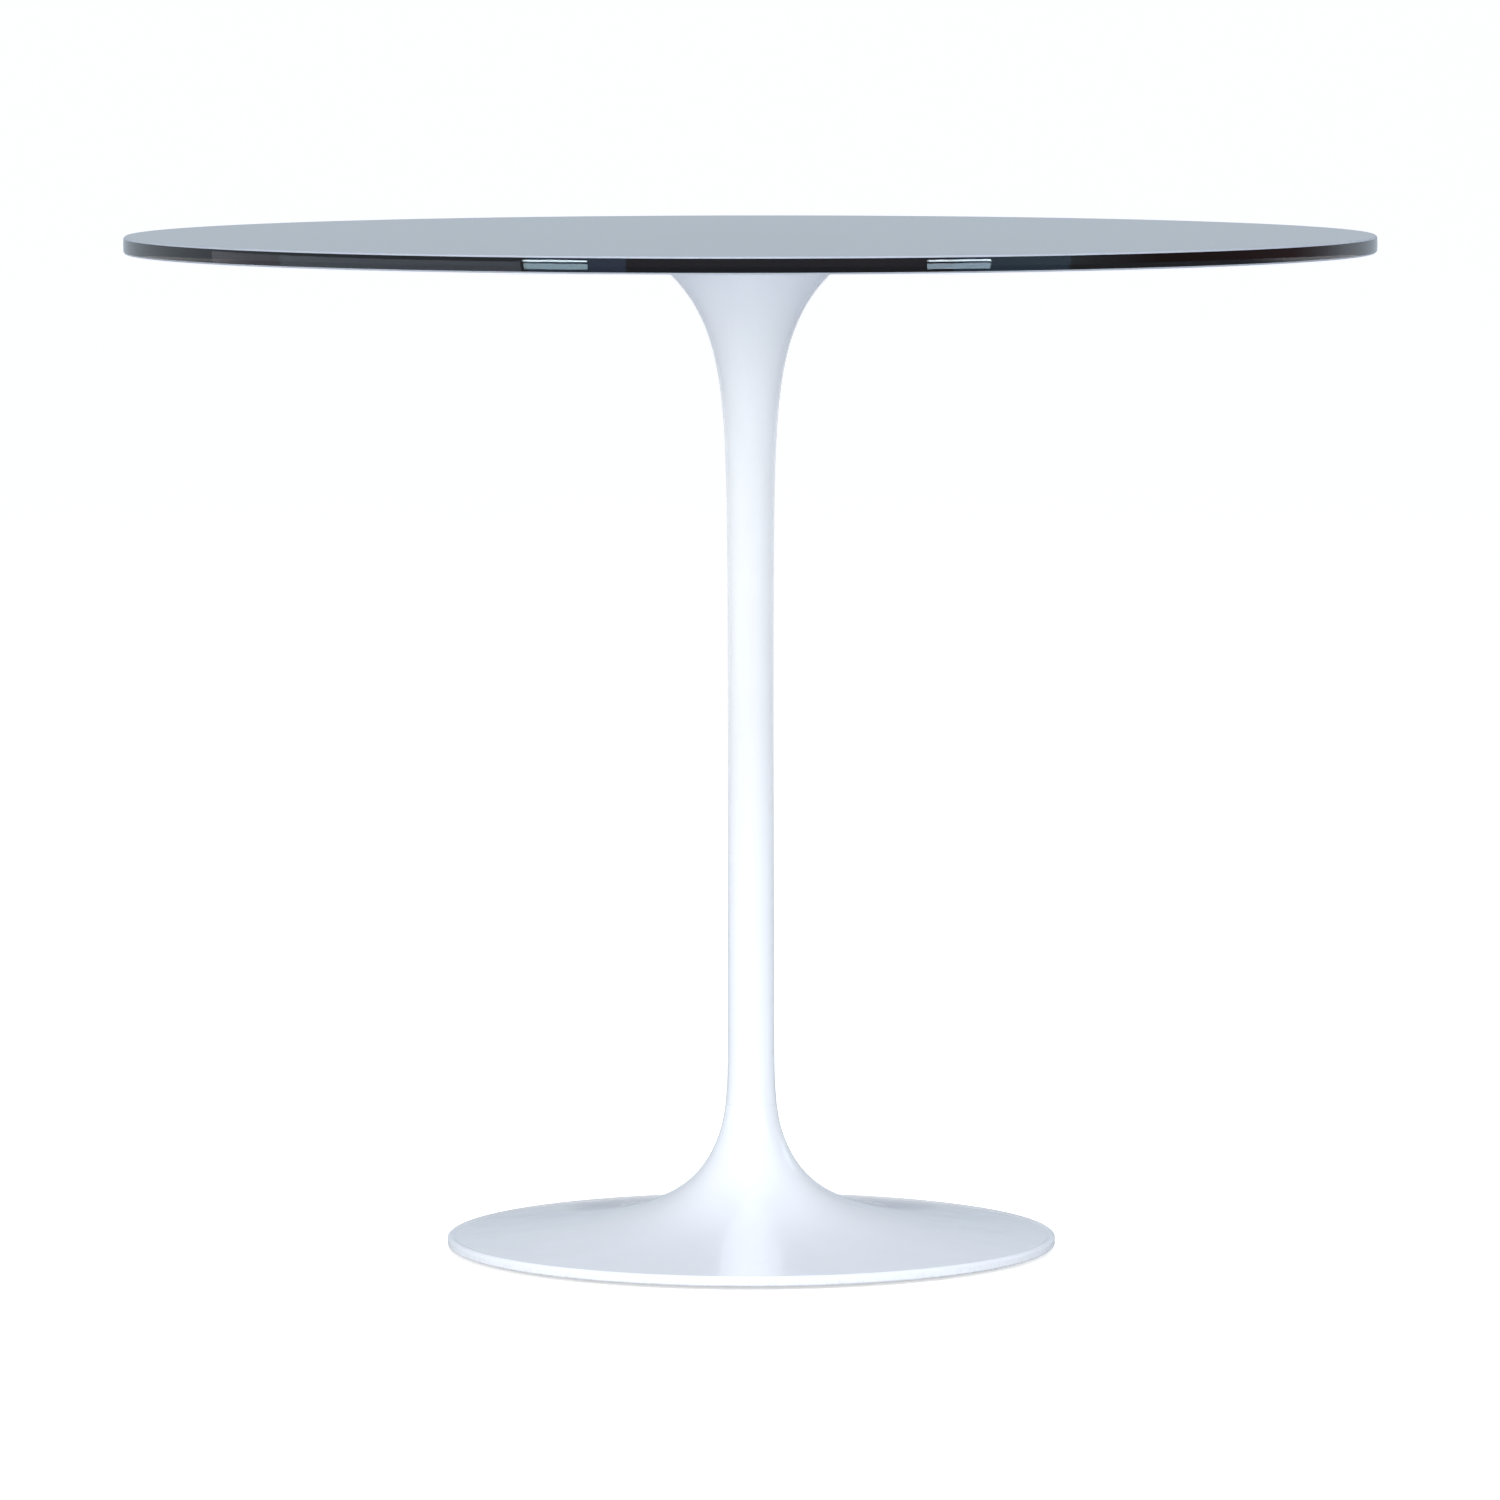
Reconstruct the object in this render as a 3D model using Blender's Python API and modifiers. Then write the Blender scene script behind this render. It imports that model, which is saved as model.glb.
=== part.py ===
"""Round pedestal table: a smoked glass disc bonded to a support plate, on a hollow trumpet
column that one long tie rod clamps to a dished base casting.

Metres, +Z up. The origin is on the floor, on the table's axis. All pieces are turned around
that axis, apart from the fasteners and the four levelling glides under the base.
"""
from math import cos, exp, hypot, pi, radians, sin

import bpy
from mathutils import Matrix, Vector

# Driving dimensions
TABLE_HEIGHT = 0.734
GLASS_RADIUS = 0.450
GLASS_THICKNESS = 0.012
GLASS_ARRIS = 0.0012
GAP = 0.0003              # clearance between two pieces that touch
CUT_PAST = 0.001          # how far a cutter reaches past the face that it opens

# The outside of the pedestal: a slender stem that flares out to both ends
STEM_RADIUS = 0.0167
TOP_FLARE_RADIUS = 0.0787     # where the upper flare would meet the glass
TOP_FLARE_LENGTH = 0.0404
DISH_EDGE_RADIUS = 0.2143     # where the dish meets the bead around its rim
DISH_EDGE_HEIGHT = 0.0092
DISH_SHARE = 0.896            # of the lower flare; the rest is the neck above the dish
DISH_LENGTH = 0.01524
NECK_LENGTH = 0.0644
NECK_POWER = 2.47
BEAD_INNER_RADIUS = 0.2172    # the bead's crest lies between these two radii
BEAD_OUTER_RADIUS = 0.2186
BEAD_HEIGHT = 0.0104
RIM_RADIUS = 0.2203
RIM_SHOULDER_HEIGHT = 0.0086
RIM_UNDERSIDE = 0.0028
RIM_ROUNDING = 0.0015
RIM_LAND = 0.0035

# Column and base castings
COLUMN_WALL = 0.0040
BASE_WALL = 0.0045
SEAM_HEIGHT = 0.105
SPIGOT_RADIUS = 0.0135
SPIGOT_LENGTH = 0.012
SPIGOT_BORE = 0.0095
BORE_CONE_START = 0.006       # above the seam, where the spigot's bore opens out
BORE_CONE_END = 0.012
TOP_FLARE_SPAN = 0.200        # the stretch of the column that is cut finely
STEM_STATIONS = (0.400, 0.160, 0.125)
SEAT_INNER_RADIUS = 0.0525
SEAT_LAND_DEPTH = 0.0055
WALL_MARGIN = 0.001           # where the inner skin stops short of a flat face
ROD_CLEARANCE_RADIUS = 0.0075
CLAMP_FACE_HEIGHT = 0.042
CLAMP_FACE_INSET = 0.004
SHELL_TOP = 0.060

# The stack under the glass, from the top down
BOND_RADIUS = 0.070
BOND_THICKNESS = 0.0008
PLATE_RADIUS = 0.075
PLATE_THICKNESS = 0.006
PLATE_CHAMFER = 0.001
SEAT_RING_THICKNESS = 0.001
SEAT_RING_OUTER = 0.0630
HUB_FLANGE_RADIUS = 0.027
HUB_FLANGE_THICKNESS = 0.005
HUB_BOSS_RADIUS = 0.0135
HUB_BOSS_LENGTH = 0.022
HUB_SCREW_CIRCLE = 0.0200

# Tie rod and its clamping hardware
ROD_RADIUS = 0.006
ROD_HOLE_RADIUS = ROD_RADIUS + GAP
ROD_BOTTOM = 0.0170
ROD_END_DEPTH = 0.003         # the rod stops this far below the plate
ROD_CHAMFER = 0.001
ANCHOR_RADIUS = 0.033
ANCHOR_THICKNESS = 0.006
SPRING_WASHER_RADIUS = 0.0107
SPRING_WASHER_THICKNESS = 0.0024
NUT_ACROSS_FLATS = 0.019
NUT_HEIGHT = 0.010
NUT_CHAMFER = 0.001
SPRING_SLOT_WIDTH = 0.0016
SPRING_SLOT_TILT = radians(20.0)

# Countersunk screws, 6 mm
SCREW_RADIUS = 0.003
SCREW_HEAD_RADIUS = 0.0060
SCREW_HEAD_LAND = 0.0004
SCREW_HEAD_RECESS = 0.0001    # the head lies this far below the face around it
COUNTERSINK_RISE = 0.0002     # a countersink's cutter stands this far out of the face
SCREW_LENGTH = 0.0105
SCREW_SOCKET_RADIUS = 0.0023
SCREW_SOCKET_DEPTH = 0.0018

# Ballast ring inside the base
BALLAST_INNER = 0.050
BALLAST_OUTER = 0.140
BALLAST_BOTTOM = 0.0045
BALLAST_THICKNESS = 0.007
BALLAST_SCREW_CIRCLE = 0.105
BALLAST_BOSS_RADIUS = 0.0075
BALLAST_BOSS_TOP = 0.0214
BALLAST_SCREW_LENGTH = 0.0145

# Levelling glides
GLIDE_CIRCLE = 0.172
GLIDE_FOOT_RADIUS = 0.011
GLIDE_FOOT_HEIGHT = 0.0038
GLIDE_STUD_RADIUS = 0.003
GLIDE_STUD_TOP = 0.0108
GLIDE_HEAD_RADIUS = 0.0055
GLIDE_HEAD_THICKNESS = 0.0012
GLIDE_HEAD_COVER = 0.0010     # nylon over the stud's head
GLIDE_TOP_CHAMFER = 0.0012
GLIDE_TOE_CHAMFER = 0.0008
GLIDE_BOSS_RADIUS = 0.0115
GLIDE_BOSS_TOP = 0.0108

FASTENER_COUNT = 4
WIDE_SIDES = 96
FINE_SIDES = 48
ROUND_SIDES = 24
SMALL_SIDES = 12

# Heights that follow from the stack
GLASS_UNDERSIDE = TABLE_HEIGHT - GLASS_THICKNESS
BOND_BOTTOM = GLASS_UNDERSIDE - GAP - BOND_THICKNESS
PLATE_TOP = BOND_BOTTOM - GAP
PLATE_BOTTOM = PLATE_TOP - PLATE_THICKNESS
SEAT_RING_BOTTOM = PLATE_BOTTOM - GAP - SEAT_RING_THICKNESS
COLUMN_TOP = SEAT_RING_BOTTOM - GAP
HUB_TOP = PLATE_BOTTOM - GAP
ROD_TOP = HUB_TOP - ROD_END_DEPTH
ANCHOR_TOP = CLAMP_FACE_HEIGHT - GAP
SPRING_WASHER_TOP = ANCHOR_TOP - ANCHOR_THICKNESS - GAP
NUT_TOP = SPRING_WASHER_TOP - SPRING_WASHER_THICKNESS - GAP
GLIDE_BOSS_BOTTOM = GLIDE_FOOT_HEIGHT + GAP
BALLAST_TOP = BALLAST_BOTTOM + BALLAST_THICKNESS


def clear_scene():
    for old in list(bpy.data.objects):
        bpy.data.objects.remove(old, do_unlink=True)


def new_collection(name):
    collection = bpy.data.collections.new(name)
    bpy.context.scene.collection.children.link(collection)
    return collection


def make_material(name, colour, roughness, metallic=0.0, alpha=1.0):
    material = bpy.data.materials.new(name)
    material.use_nodes = True
    shader = material.node_tree.nodes["Principled BSDF"]
    shader.inputs["Base Color"].default_value = (*colour, 1.0)
    shader.inputs["Roughness"].default_value = roughness
    shader.inputs["Metallic"].default_value = metallic
    shader.inputs["Alpha"].default_value = alpha
    return material


clear_scene()
TABLE = new_collection("round_pedestal_table")
CUTTERS = new_collection("cutters")
SMOKED_GLASS = make_material("smoked_glass", (0.12, 0.13, 0.15), 0.03, alpha=0.55)
CLEAR_ADHESIVE = make_material("clear_adhesive", (0.75, 0.77, 0.78), 0.20, alpha=0.5)
WHITE_LACQUER = make_material("white_lacquer", (0.86, 0.88, 0.91), 0.12)
SATIN_ALUMINIUM = make_material("satin_aluminium", (0.70, 0.71, 0.73), 0.35, metallic=1.0)
ZINC_STEEL = make_material("zinc_steel", (0.60, 0.61, 0.63), 0.30, metallic=1.0)
RAW_STEEL = make_material("raw_steel", (0.28, 0.28, 0.29), 0.50, metallic=1.0)
SEAT_RUBBER = make_material("seat_rubber", (0.03, 0.03, 0.03), 0.75)
GLIDE_NYLON = make_material("glide_nylon", (0.05, 0.05, 0.055), 0.45)


def pedestal_radius(height):
    """Outer radius of the pedestal at a height: the stem, plus what each flare adds."""
    below_glass = GLASS_UNDERSIDE - height
    above_dish = height - DISH_EDGE_HEIGHT
    top_flare = exp(-below_glass / TOP_FLARE_LENGTH)
    dish = exp(-above_dish / DISH_LENGTH)
    neck = exp(-((above_dish / NECK_LENGTH) ** NECK_POWER))
    return (STEM_RADIUS
            + (TOP_FLARE_RADIUS - STEM_RADIUS) * top_flare
            + (DISH_EDGE_RADIUS - STEM_RADIUS) * (DISH_SHARE * dish + (1 - DISH_SHARE) * neck))


def pedestal_wall(height, wall):
    """The point under the skin at a height, one wall thickness in along the normal."""
    step = 0.0001
    slope = (pedestal_radius(height + step) - pedestal_radius(height - step)) / (2 * step)
    length = hypot(1.0, slope)
    return (pedestal_radius(height) - wall / length, height + wall * slope / length)


def spread(start, end, count, power=1.0):
    """Heights from start to end, closer together near start when power is over 1."""
    return [start + (end - start) * (i / (count - 1)) ** power for i in range(count)]


def ring_places(radius, count=FASTENER_COUNT, start_degrees=45.0):
    """Evenly spaced places on a circle around the table's axis."""
    angles = [radians(start_degrees + i * 360.0 / count) for i in range(count)]
    return [Vector((radius * cos(a), radius * sin(a), 0.0)) for a in angles]


def add_modifier(piece, name, kind, **settings):
    modifier = piece.modifiers.new(name, kind)
    for key, value in settings.items():
        setattr(modifier, key, value)
    return modifier


def turned(name, profile, material, sides, closed=False, place=(0.0, 0.0, 0.0), home=TABLE):
    """A turned piece. The profile is (radius, height) points down its outer side.

    An open profile starts and ends on the axis. A closed one goes on up the bore.
    """
    count = len(profile)
    edges = [(i, i + 1) for i in range(count - 1)]
    if closed:
        edges.append((count - 1, 0))
    mesh = bpy.data.meshes.new(name)
    mesh.from_pydata([(r, 0.0, z) for r, z in profile], edges, [])
    mesh.materials.append(material)
    piece = bpy.data.objects.new(name, mesh)
    piece.location = place
    home.objects.link(piece)
    add_modifier(piece, "turn", "SCREW", axis="Z", angle=2 * pi, steps=sides,
                 render_steps=sides, use_merge_vertices=True, merge_threshold=0.00001,
                 use_smooth_shade=True)
    return piece


def cutter(name, profile, sides=SMALL_SIDES, place=(0.0, 0.0, 0.0)):
    """A turned shape that is taken away from, or added to, a piece."""
    shape = turned(name, profile, WHITE_LACQUER, sides, place=place, home=CUTTERS)
    shape.hide_render = True
    shape.display_type = "WIRE"
    return shape


def combine(piece, other, operation):
    add_modifier(piece, other.name, "BOOLEAN", operation=operation, object=other,
                 solver="EXACT")


def combine_group(piece, name, shapes, operation):
    """Add or take away several shapes in one step."""
    group = bpy.data.collections.new(name)
    CUTTERS.children.link(group)
    for shape in shapes:
        CUTTERS.objects.unlink(shape)
        group.objects.link(shape)
    add_modifier(piece, name, "BOOLEAN", operation=operation, operand_type="COLLECTION",
                 collection=group, solver="EXACT")


def rod_profile(radius, bottom, top, chamfer=0.0):
    """A solid round bar from top to bottom, with chamfered ends where asked."""
    if chamfer:
        return [(0.0, top), (radius - chamfer, top), (radius, top - chamfer),
                (radius, bottom + chamfer), (radius - chamfer, bottom), (0.0, bottom)]
    return [(0.0, top), (radius, top), (radius, bottom), (0.0, bottom)]


def ring_profile(outer, inner, bottom, top):
    return [(outer, top), (outer, bottom), (inner, bottom), (inner, top)]


def flip(profile, pivot):
    """The same shape upside down, with the head at the pivot height facing down."""
    return [(r, 2 * pivot - z) for r, z in reversed(profile)]


def countersunk_profile(top, length, clearance=0.0):
    """A countersunk screw with its flat head up at the top height."""
    shank = SCREW_RADIUS + clearance
    head = SCREW_HEAD_RADIUS + clearance
    cone_top = top - SCREW_HEAD_LAND
    return [(0.0, top), (head, top), (head, cone_top), (shank, cone_top - (head - shank)),
            (shank, top - length), (0.0, top - length)]


def glass_top():
    turned("glass_top", rod_profile(GLASS_RADIUS, GLASS_UNDERSIDE, TABLE_HEIGHT, GLASS_ARRIS),
           SMOKED_GLASS, WIDE_SIDES)


def bond_film():
    turned("bond_film", rod_profile(BOND_RADIUS, BOND_BOTTOM, BOND_BOTTOM + BOND_THICKNESS),
           CLEAR_ADHESIVE, FINE_SIDES)


def support_plate():
    profile = rod_profile(PLATE_RADIUS, PLATE_BOTTOM, PLATE_TOP, PLATE_CHAMFER)
    plate = turned("support_plate", profile, SATIN_ALUMINIUM, FINE_SIDES)
    for i, place in enumerate(ring_places(HUB_SCREW_CIRCLE), 1):
        hole = countersunk_profile(PLATE_TOP + COUNTERSINK_RISE,
                                   PLATE_THICKNESS + COUNTERSINK_RISE + CUT_PAST, GAP)
        combine(plate, cutter(f"plate_hole_{i}", hole, place=place), "DIFFERENCE")


def rod_hub():
    flange_bottom = HUB_TOP - HUB_FLANGE_THICKNESS
    profile = [(HUB_FLANGE_RADIUS, HUB_TOP), (HUB_FLANGE_RADIUS, flange_bottom),
               (HUB_BOSS_RADIUS, flange_bottom), (HUB_BOSS_RADIUS, HUB_TOP - HUB_BOSS_LENGTH),
               (ROD_HOLE_RADIUS, HUB_TOP - HUB_BOSS_LENGTH), (ROD_HOLE_RADIUS, HUB_TOP)]
    hub = turned("rod_hub", profile, ZINC_STEEL, ROUND_SIDES, closed=True)
    for i, place in enumerate(ring_places(HUB_SCREW_CIRCLE), 1):
        hole = rod_profile(SCREW_RADIUS + GAP, flange_bottom - CUT_PAST, HUB_TOP + CUT_PAST)
        combine(hub, cutter(f"hub_hole_{i}", hole, place=place), "DIFFERENCE")


def screw(name, profile, socket_bottom, socket_top, place):
    """A countersunk screw with a hexagon socket cut in its head."""
    piece = turned(name, profile, ZINC_STEEL, SMALL_SIDES, place=place)
    socket = rod_profile(SCREW_SOCKET_RADIUS, socket_bottom, socket_top)
    combine(piece, cutter(f"{name}_socket", socket, sides=6, place=place), "DIFFERENCE")


def hub_screws():
    top = PLATE_TOP - SCREW_HEAD_RECESS
    for i, place in enumerate(ring_places(HUB_SCREW_CIRCLE), 1):
        screw(f"hub_screw_{i}", countersunk_profile(top, SCREW_LENGTH),
              top - SCREW_SOCKET_DEPTH, top + CUT_PAST, place)


def seat_ring():
    profile = ring_profile(SEAT_RING_OUTER, SEAT_INNER_RADIUS, SEAT_RING_BOTTOM,
                           SEAT_RING_BOTTOM + SEAT_RING_THICKNESS)
    turned("seat_ring", profile, SEAT_RUBBER, FINE_SIDES, closed=True)


def column():
    """The hollow trumpet: flare, stem and the spigot that drops into the base."""
    shoulder = SEAM_HEIGHT + GAP
    flare_end = COLUMN_TOP - TOP_FLARE_SPAN
    outer = [(pedestal_radius(z), z) for z in spread(COLUMN_TOP, flare_end, 11, 1.6)]
    outer += [(pedestal_radius(z), z) for z in (*STEM_STATIONS, shoulder)]
    spigot = [(SPIGOT_RADIUS, shoulder), (SPIGOT_RADIUS, shoulder - SPIGOT_LENGTH),
              (SPIGOT_BORE, shoulder - SPIGOT_LENGTH), (SPIGOT_BORE, shoulder + BORE_CONE_START),
              (STEM_RADIUS - COLUMN_WALL, shoulder + BORE_CONE_END)]
    land_bottom = COLUMN_TOP - SEAT_LAND_DEPTH
    inner = [pedestal_wall(z, COLUMN_WALL) for z in spread(flare_end, COLUMN_TOP, 9, 0.6)]
    inner = [(r, z) for r, z in inner
             if r < SEAT_INNER_RADIUS - WALL_MARGIN and z < land_bottom]
    land = [(SEAT_INNER_RADIUS, land_bottom), (SEAT_INNER_RADIUS, COLUMN_TOP)]
    turned("column", outer + spigot + inner + land, WHITE_LACQUER, FINE_SIDES, closed=True)


def base_casting():
    """The dish: a thin shell with a beaded rim, and a thick neck that takes the spigot and
    the rod's clamp."""
    socket_floor = SEAM_HEIGHT - SPIGOT_LENGTH - GAP
    outer = [(pedestal_radius(z), z) for z in spread(SEAM_HEIGHT, DISH_EDGE_HEIGHT, 16, 0.75)]
    rim = [(BEAD_INNER_RADIUS, BEAD_HEIGHT), (BEAD_OUTER_RADIUS, BEAD_HEIGHT),
           (RIM_RADIUS, RIM_SHOULDER_HEIGHT), (RIM_RADIUS, RIM_UNDERSIDE + RIM_ROUNDING),
           (RIM_RADIUS - RIM_ROUNDING, RIM_UNDERSIDE),
           (RIM_RADIUS - RIM_ROUNDING - RIM_LAND, RIM_UNDERSIDE)]
    shell = [pedestal_wall(z, BASE_WALL)
             for z in spread(DISH_EDGE_HEIGHT + WALL_MARGIN, SHELL_TOP, 9, 1.8)]
    shell = [(r, z) for r, z in shell if z < CLAMP_FACE_HEIGHT - WALL_MARGIN]
    neck = [(shell[-1][0] - CLAMP_FACE_INSET, CLAMP_FACE_HEIGHT),
            (ROD_CLEARANCE_RADIUS, CLAMP_FACE_HEIGHT),
            (ROD_CLEARANCE_RADIUS, socket_floor), (SPIGOT_RADIUS + GAP, socket_floor),
            (SPIGOT_RADIUS + GAP, SEAM_HEIGHT)]
    base = turned("base_casting", outer + rim + shell + neck, WHITE_LACQUER, FINE_SIDES,
                  closed=True)
    ballast_boss = rod_profile(BALLAST_BOSS_RADIUS, BALLAST_TOP + GAP, BALLAST_BOSS_TOP)
    ballast_hole = rod_profile(SCREW_RADIUS + GAP, BALLAST_BOTTOM,
                               BALLAST_BOTTOM + BALLAST_SCREW_LENGTH + CUT_PAST)
    glide_boss = rod_profile(GLIDE_BOSS_RADIUS, GLIDE_BOSS_BOTTOM, GLIDE_BOSS_TOP)
    glide_hole = rod_profile(GLIDE_STUD_RADIUS + GAP, 0.0, GLIDE_STUD_TOP + GAP)
    ballast_places = ring_places(BALLAST_SCREW_CIRCLE, start_degrees=0.0)
    glide_places = ring_places(GLIDE_CIRCLE)
    bosses = [cutter(f"ballast_boss_{i}", ballast_boss, place=place)
              for i, place in enumerate(ballast_places, 1)]
    bosses += [cutter(f"glide_boss_{i}", glide_boss, place=place)
               for i, place in enumerate(glide_places, 1)]
    holes = [cutter(f"ballast_boss_hole_{i}", ballast_hole, place=place)
             for i, place in enumerate(ballast_places, 1)]
    holes += [cutter(f"glide_boss_hole_{i}", glide_hole, place=place)
              for i, place in enumerate(glide_places, 1)]
    combine_group(base, "base_bosses", bosses, "UNION")
    combine_group(base, "base_holes", holes, "DIFFERENCE")


def tie_rod():
    turned("tie_rod", rod_profile(ROD_RADIUS, ROD_BOTTOM, ROD_TOP, ROD_CHAMFER), ZINC_STEEL,
           ROUND_SIDES)


def anchor_washer():
    profile = ring_profile(ANCHOR_RADIUS, ROD_HOLE_RADIUS, ANCHOR_TOP - ANCHOR_THICKNESS,
                           ANCHOR_TOP)
    turned("anchor_washer", profile, ZINC_STEEL, ROUND_SIDES, closed=True)


def spring_washer():
    """A split ring: the narrow slot through one side is what makes it a spring."""
    bottom = SPRING_WASHER_TOP - SPRING_WASHER_THICKNESS
    profile = ring_profile(SPRING_WASHER_RADIUS, ROD_HOLE_RADIUS, bottom, SPRING_WASHER_TOP)
    washer = turned("spring_washer", profile, ZINC_STEEL, ROUND_SIDES, closed=True)
    bpy.ops.mesh.primitive_cube_add(size=1.0)
    slot = bpy.context.active_object
    slot.name = "spring_washer_slot"
    ring_width = SPRING_WASHER_RADIUS - ROD_HOLE_RADIUS
    slot.data.transform(Matrix.Diagonal((2 * ring_width, SPRING_SLOT_WIDTH,
                                         3 * SPRING_WASHER_THICKNESS, 1.0)))
    slot.rotation_euler = (SPRING_SLOT_TILT, 0.0, 0.0)
    slot.location = (ROD_HOLE_RADIUS + ring_width / 2, 0.0,
                     bottom + SPRING_WASHER_THICKNESS / 2)
    for owner in list(slot.users_collection):
        owner.objects.unlink(slot)
    CUTTERS.objects.link(slot)
    slot.hide_render = True
    slot.display_type = "WIRE"
    combine(washer, slot, "DIFFERENCE")


def clamp_nut():
    """A hexagon nut: a six-sided turned ring with the rod's hole cut through it."""
    corner_radius = NUT_ACROSS_FLATS / 2 / cos(pi / 6)
    bottom = NUT_TOP - NUT_HEIGHT
    nut = turned("clamp_nut", rod_profile(corner_radius, bottom, NUT_TOP, NUT_CHAMFER),
                 ZINC_STEEL, 6)
    hole = rod_profile(ROD_HOLE_RADIUS, bottom - CUT_PAST, NUT_TOP + CUT_PAST)
    combine(nut, cutter("clamp_nut_hole", hole, sides=ROUND_SIDES), "DIFFERENCE")


def ballast_ring():
    profile = ring_profile(BALLAST_OUTER, BALLAST_INNER, BALLAST_BOTTOM, BALLAST_TOP)
    ring = turned("ballast_ring", profile, RAW_STEEL, FINE_SIDES, closed=True)
    for i, place in enumerate(ring_places(BALLAST_SCREW_CIRCLE, start_degrees=0.0), 1):
        face = BALLAST_BOTTOM - COUNTERSINK_RISE
        hole = countersunk_profile(face, BALLAST_THICKNESS + COUNTERSINK_RISE + CUT_PAST, GAP)
        hole = flip(hole, face)
        combine(ring, cutter(f"ballast_hole_{i}", hole, place=place), "DIFFERENCE")


def ballast_screws():
    head = BALLAST_BOTTOM + SCREW_HEAD_RECESS
    for i, place in enumerate(ring_places(BALLAST_SCREW_CIRCLE, start_degrees=0.0), 1):
        profile = flip(countersunk_profile(head, BALLAST_SCREW_LENGTH), head)
        screw(f"ballast_screw_{i}", profile, head - CUT_PAST, head + SCREW_SOCKET_DEPTH, place)


def levelling_glides():
    """Each glide is a threaded stud with a nylon foot moulded around its head."""
    head_top = GLIDE_FOOT_HEIGHT - GLIDE_HEAD_COVER
    head_bottom = head_top - GLIDE_HEAD_THICKNESS
    pocket = GLIDE_HEAD_RADIUS + GAP
    neck = GLIDE_STUD_RADIUS + GAP
    foot_profile = [(0.0, head_bottom - GAP), (pocket, head_bottom - GAP),
                    (pocket, head_top + GAP), (neck, head_top + GAP), (neck, GLIDE_FOOT_HEIGHT),
                    (GLIDE_FOOT_RADIUS - GLIDE_TOP_CHAMFER, GLIDE_FOOT_HEIGHT),
                    (GLIDE_FOOT_RADIUS, GLIDE_FOOT_HEIGHT - GLIDE_TOP_CHAMFER),
                    (GLIDE_FOOT_RADIUS, GLIDE_TOE_CHAMFER),
                    (GLIDE_FOOT_RADIUS - GLIDE_TOE_CHAMFER, 0.0), (0.0, 0.0)]
    stud_profile = [(0.0, GLIDE_STUD_TOP), (GLIDE_STUD_RADIUS, GLIDE_STUD_TOP),
                    (GLIDE_STUD_RADIUS, head_top), (GLIDE_HEAD_RADIUS, head_top),
                    (GLIDE_HEAD_RADIUS, head_bottom), (0.0, head_bottom)]
    for i, place in enumerate(ring_places(GLIDE_CIRCLE), 1):
        glide = bpy.data.objects.new(f"glide_{i}_axis", None)
        glide.location = place
        TABLE.objects.link(glide)
        foot = turned(f"glide_foot_{i}", foot_profile, GLIDE_NYLON, ROUND_SIDES)
        stud = turned(f"glide_stud_{i}", stud_profile, ZINC_STEEL, SMALL_SIDES)
        foot.parent = glide
        stud.parent = glide


glass_top()
bond_film()
support_plate()
rod_hub()
hub_screws()
seat_ring()
column()
base_casting()
tie_rod()
anchor_washer()
spring_washer()
clamp_nut()
ballast_ring()
ballast_screws()
levelling_glides()
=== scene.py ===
"""Round pedestal table: the looks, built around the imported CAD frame.

A smoked glass disc on a white lacquered trumpet pedestal. Every CAD node is stood for by a finer
piece with the same place and size. All lengths are in metres, and the table's axis is X = Y = 0.
"""
from math import atan2, cos, exp, hypot, pi, radians, sin, tan

import bmesh
import bpy
from mathutils import Matrix, Vector


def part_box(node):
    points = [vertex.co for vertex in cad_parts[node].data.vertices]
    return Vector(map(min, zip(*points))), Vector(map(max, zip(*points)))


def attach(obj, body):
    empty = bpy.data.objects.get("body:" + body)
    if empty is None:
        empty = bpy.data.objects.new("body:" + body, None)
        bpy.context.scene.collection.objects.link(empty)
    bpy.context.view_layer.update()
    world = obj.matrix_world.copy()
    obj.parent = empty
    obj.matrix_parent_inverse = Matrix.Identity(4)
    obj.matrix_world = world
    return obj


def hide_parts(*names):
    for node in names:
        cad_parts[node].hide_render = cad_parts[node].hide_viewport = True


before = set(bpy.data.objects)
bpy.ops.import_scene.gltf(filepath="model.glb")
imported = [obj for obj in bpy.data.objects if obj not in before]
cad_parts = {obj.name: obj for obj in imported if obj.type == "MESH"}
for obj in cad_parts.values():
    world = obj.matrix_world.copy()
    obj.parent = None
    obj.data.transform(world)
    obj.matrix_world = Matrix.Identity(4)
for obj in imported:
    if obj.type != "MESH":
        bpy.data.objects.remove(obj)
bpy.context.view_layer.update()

# The pedestal's outline, as the CAD has it: a stem that flares out to both ends
STEM_RADIUS = 0.0167
TOP_FLARE_RADIUS = 0.0787     # where the upper flare would meet the glass
TOP_FLARE_LENGTH = 0.0404
TOP_FLARE_SPAN = 0.260        # the stretch of the column that is cut finely
DISH_EDGE_RADIUS = 0.2143     # where the dish meets the bead around its rim
DISH_EDGE_HEIGHT = 0.0092
DISH_SHARE = 0.896            # of the lower flare; the rest is the neck above the dish
DISH_LENGTH = 0.01524
NECK_LENGTH = 0.0644
NECK_POWER = 2.47
BEAD_RADIUS = 0.2180
BEAD_HEIGHT = 0.0104
RIM_SHOULDER_HEIGHT = 0.0086
RIM_FOOT_WIDTH = 0.0050

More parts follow.
